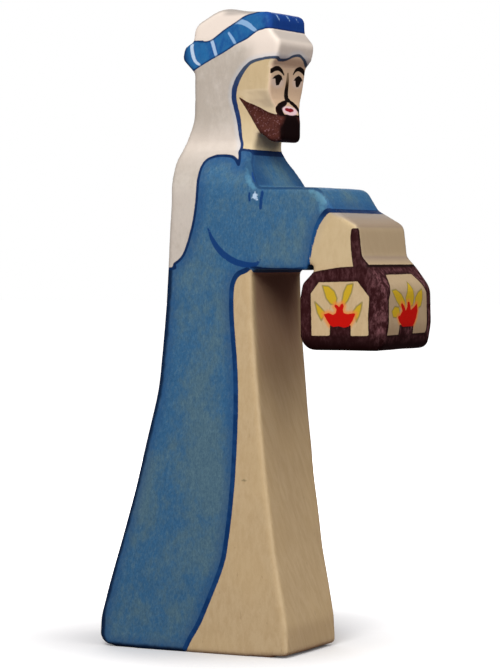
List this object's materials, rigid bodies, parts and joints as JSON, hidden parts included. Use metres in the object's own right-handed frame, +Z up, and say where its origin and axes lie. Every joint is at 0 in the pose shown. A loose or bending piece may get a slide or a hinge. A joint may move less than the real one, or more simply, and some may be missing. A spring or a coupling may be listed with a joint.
{
  "type": "nativity shepherd figurine",
  "caption": "Flat wooden shepherd sawn from one board, painted with a blue coat and pale head-cloth, holding out a lantern; stands on its own hem.",
  "frame": {"origin": "on the ground, under the middle of the figure's overall length and thickness", "axes": "+Z up; the figure faces -Y and holds the lantern out that way; X runs through the board, with the figure's right side at -X"},
  "size_m": [0.025, 0.0698, 0.1407],
  "materials": {
    "painted_maple": "sanded maple, matt; thin blue stain on the coat, white wash on the head-cloth, dark brown lantern frame"
  },
  "bodies": {
    "root": {"shepherd_figure": "painted_maple"}
  },
  "joints": []
}
